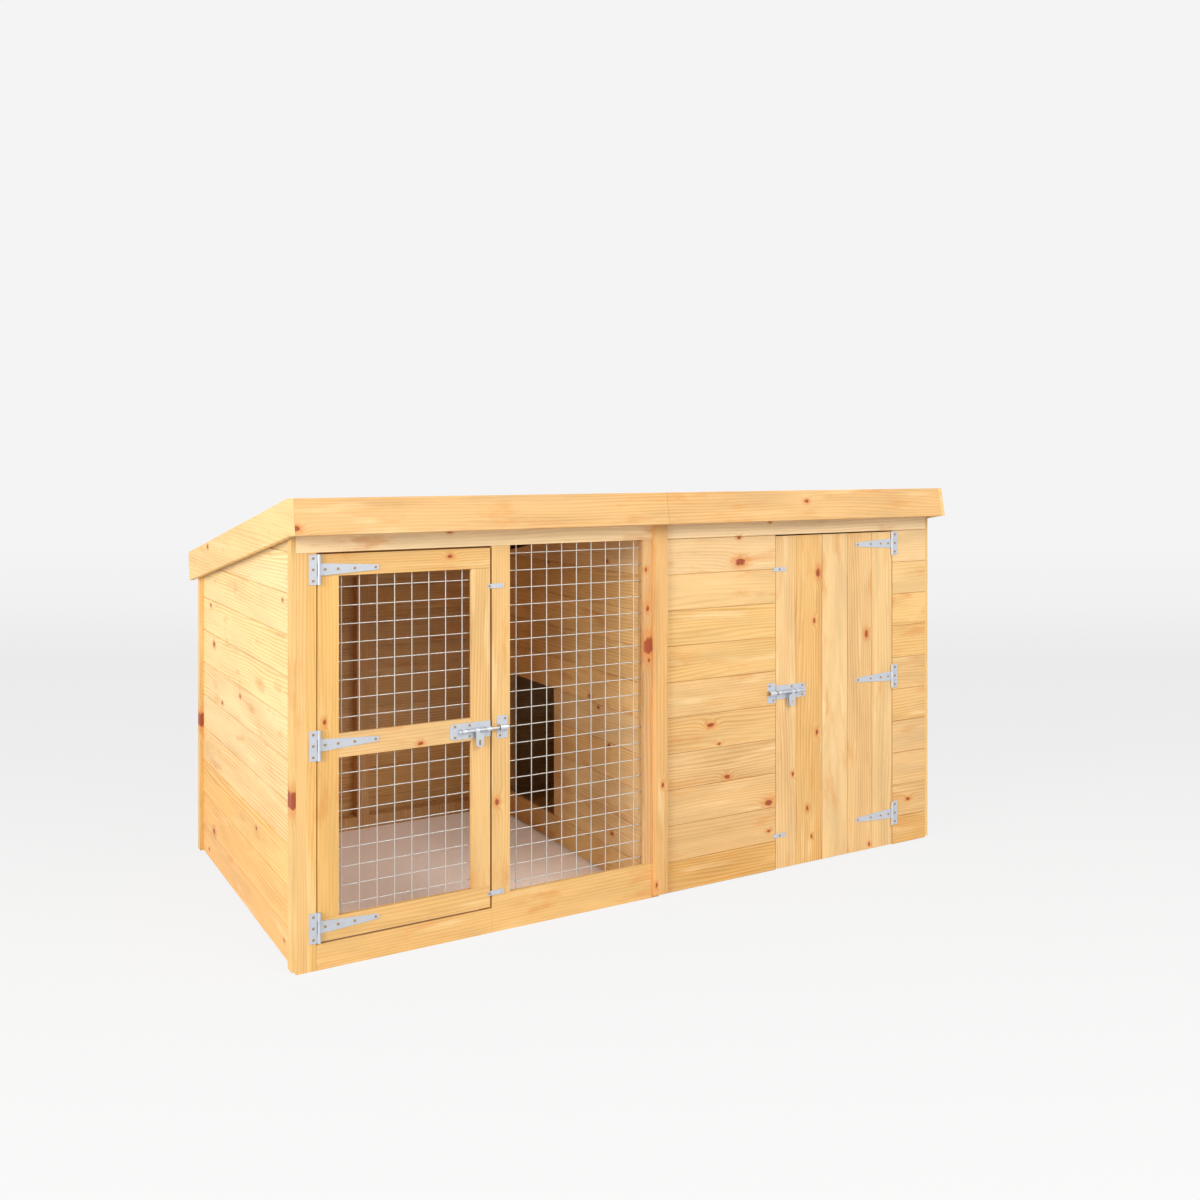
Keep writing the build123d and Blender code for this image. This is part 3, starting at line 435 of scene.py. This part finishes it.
right_stile = pine("pine_right_stile", "z", "x", trim_start, one_board, (216, 172, 114), (192, 134, 76),
                   spread=0.03, knots=right_stile_knots, knot_chance=0.05, seed=12.0)
dress(right_stile, "run_right_stile")
cover_strip = pine("pine_cover_strip", "z", "x", trim_start, one_board, (228, 184, 128), (208, 152, 92),
                   spread=0.03, knots=cover_strip_knots, knot_chance=0.04, seed=13.0)
dress(cover_strip, "centre_cover_strip")

# Framing
frame_colors = ((222, 178, 124), (196, 142, 88))
frame_knots = 0.15
upright_frame_cover = 0.31
level_frame_cover = 0.27
upright_frame = pine("pine_frame", "z", "x", trim_start, upright_frame_cover, *frame_colors,
                     knot_chance=frame_knots, seed=14.0)
dress(upright_frame, "left_wall_frame", "right_wall_frame", "back_wall_frame", "partition_frame",
      "run_front_frame", "kennel_front_frame", "door_stops", "run_door_back_battens")
level_frame = pine("pine_level_frame", "x", "y", trim_start, level_frame_cover, *frame_colors,
                   knot_chance=frame_knots, seed=15.0)
dress(level_frame, "roof_purlins", "fascia_batten", "back_drip_board", "kennel_floor_bearers",
      "kennel_door_ledges", "kennel_door_braces")

# Metal and felt
dress(zinc("zinc_hardware"), "hinge_plates", "run_door_straps", "kennel_door_straps", "run_bolt_plate",
      "kennel_bolt_plate", "bolt_keeps", "run_bolt_lug", "kennel_bolt_lug", "run_turn_button_lower",
      "run_turn_button_upper", "kennel_turn_button_lower", "kennel_turn_button_upper")
bright = zinc("zinc_bright", (196, 202, 210), spangle=50.0, rough=0.46)
dress(bright, "run_bolt_rod", "kennel_bolt_rod", "hinge_pins")
screws = zinc("zinc_screws", (176, 142, 96), spangle=60.0, rough=0.40)
dress(screws, "house_screws", "run_door_screws", "run_button_screws", "kennel_door_screws",
      "kennel_button_screws")
wire = zinc("galvanised_wire", (206, 202, 196), spangle=30.0, rough=0.45, contrast=0.4)
dress(wire, "run_fixed_mesh", "run_door_mesh")
dress(felt("roof_felt"), "roof_felt")


# Floor and backdrop: plain and pale. Seen by the camera, the floor gets greyer to about 8 m and then paler
# again, to the backdrop's tone, as the photograph has it. floor_tones are (metres from the camera, grey).
page = color(244, 244, 244)
camera_place = house(-0.8636, -3.1070, 1.3537)
view_forward = (0.5015, 0.8652)
farthest = 20.0
floor_tones = ((2.2, 251), (3.4, 247), (5.6, 240), (8.0, 237), (11.0, 241), (19.0, 244))
floor_color = color(225, 225, 225)
# Under the house the floor is warm and pale, which is painted warm bounce light, and the camera sees a faint
# warm painted glow on it as well
painted_bounce_floor_color = color(250, 236, 228)
painted_glow_color = color(255, 232, 220)
painted_glow_strength = 0.13
house_half_width = 1.13
front_inset = 0.02
floor_side = 400.0
floor_drop = 0.0005

# The share of the floor's grey that the camera sees: 0.93 nearby, growing to all of it with distance
glow_step = (0.25, 0.6, 0.93, 1.0)


def stage_material():
    g = Graph("stage")
    place = g.node("ShaderNodeNewGeometry").outputs["Position"]
    split = g.node("ShaderNodeSeparateXYZ", Vector=place)
    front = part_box("run_header")[0].y + front_inset
    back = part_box("back_wall_boards")[1].y
    across = g.math("LESS_THAN", g.math("ABSOLUTE", split.outputs[0]), house_half_width)
    behind_front = g.math("GREATER_THAN", split.outputs[1], front)
    before_back = g.math("LESS_THAN", split.outputs[1], back)
    under_house = g.times(across, g.times(behind_front, before_back))
    sideways = g.times(g.minus(split.outputs[0], camera_place[0]), view_forward[0])
    ahead = g.times(g.minus(split.outputs[1], camera_place[1]), view_forward[1])
    distance = g.divide(g.plus(sideways, ahead), farthest)
    ramp = g.node("ShaderNodeValToRGB", Fac=distance)
    stops = ramp.color_ramp.elements
    already_there = len(stops)
    for number, (metres, tone) in enumerate(floor_tones):
        stop = stops[number] if number < already_there else stops.new(metres / farthest)
        stop.position = metres / farthest
        stop.color = color(tone, tone, tone)
    path = g.node("ShaderNodeLightPath").outputs
    seen = g.math("MAXIMUM", path["Is Glossy Ray"], path["Is Transmission Ray"])
    seen = g.math("MAXIMUM", path["Is Camera Ray"], seen)
    glow = g.node("ShaderNodeEmission", Color=ramp.outputs[0], Strength=1.0).outputs[0]
    matte = g.node("ShaderNodeBsdfDiffuse", Color=painted_bounce_floor_color).outputs[0]
    pale = g.node("ShaderNodeBsdfDiffuse", Color=floor_color).outputs[0]
    share = g.times(seen, g.smooth(distance, *glow_step))
    outside = g.mix_shaders("ShaderNodeMixShader", share, pale, glow)
    # A faint warm painted glow on the floor under the house, where the camera or a reflection sees it
    painted_glow = g.node("ShaderNodeEmission", Color=painted_glow_color, Strength=g.times(seen, painted_glow_strength)).outputs[0]
    inside = g.mix_shaders("ShaderNodeAddShader", matte, painted_glow)
    return g.finish(g.mix_shaders("ShaderNodeMixShader", under_house, outside, inside))


bpy.ops.mesh.primitive_plane_add(size=floor_side, location=(0, 0, -floor_drop))
floor = bpy.context.object
floor.name = "floor"
floor.data.materials.append(stage_material())

# World: a soft even light, and the backdrop's tone where the camera or a reflection sees it
soft_tint = (1.0, 0.985, 0.96, 1.0)
soft_strength = 0.42
world = bpy.data.worlds.new("studio")
bpy.context.scene.world = world
world.use_nodes = True
sky = world.node_tree
sky.nodes.clear()
output = sky.nodes.new("ShaderNodeOutputWorld")
soft = sky.nodes.new("ShaderNodeBackground")
soft.inputs["Color"].default_value = soft_tint
soft.inputs["Strength"].default_value = soft_strength
backdrop = sky.nodes.new("ShaderNodeBackground")
backdrop.inputs["Color"].default_value = page
path = sky.nodes.new("ShaderNodeLightPath")
seen = sky.nodes.new("ShaderNodeMath")
seen.operation = "MAXIMUM"
sky.links.new(path.outputs["Is Camera Ray"], seen.inputs[0])
sky.links.new(path.outputs["Is Glossy Ray"], seen.inputs[1])
blend = sky.nodes.new("ShaderNodeMixShader")
sky.links.new(seen.outputs[0], blend.inputs[0])
sky.links.new(soft.outputs[0], blend.inputs[1])
sky.links.new(backdrop.outputs[0], blend.inputs[2])
sky.links.new(blend.outputs[0], output.inputs["Surface"])


def lamp(name, place, target, size, power, tint):
    data = bpy.data.lights.new(name, "AREA")
    data.shape = "DISK"
    data.size = size
    data.energy = power
    data.color = tint
    made = bpy.data.objects.new(name, data)
    made.location = place
    made.rotation_euler = (Vector(target) - Vector(place)).to_track_quat("-Z", "Y").to_euler()
    bpy.context.scene.collection.objects.link(made)


lamp("key", (-9.2, -3.8, 3.0), (0.0, -0.3, 0.6), size=5.0, power=720.0, tint=(1.0, 0.975, 0.92))
lamp("fill", (2.0, -6.9, 5.6), (0.3, -0.4, 0.4), size=6.0, power=400.0, tint=(1.0, 0.985, 0.95))

# Camera: the photograph's two-point perspective, with the horizon above the picture's middle
focal_pixels = 1187.4
picture_side = 1200.0
horizon_row = 461.4
level_tilt = 90.0
yaw = -30.10
camera_data = bpy.data.cameras.new("camera")
camera_data.sensor_width = 36.0
camera_data.lens = focal_pixels / picture_side * camera_data.sensor_width
camera_data.shift_y = (horizon_row - picture_side / 2) / picture_side
camera = bpy.data.objects.new("camera", camera_data)
camera.location = camera_place
camera.rotation_euler = (math.radians(level_tilt), 0.0, math.radians(yaw))
bpy.context.scene.collection.objects.link(camera)
bpy.context.scene.camera = camera

bpy.context.scene.view_settings.view_transform = "Standard"
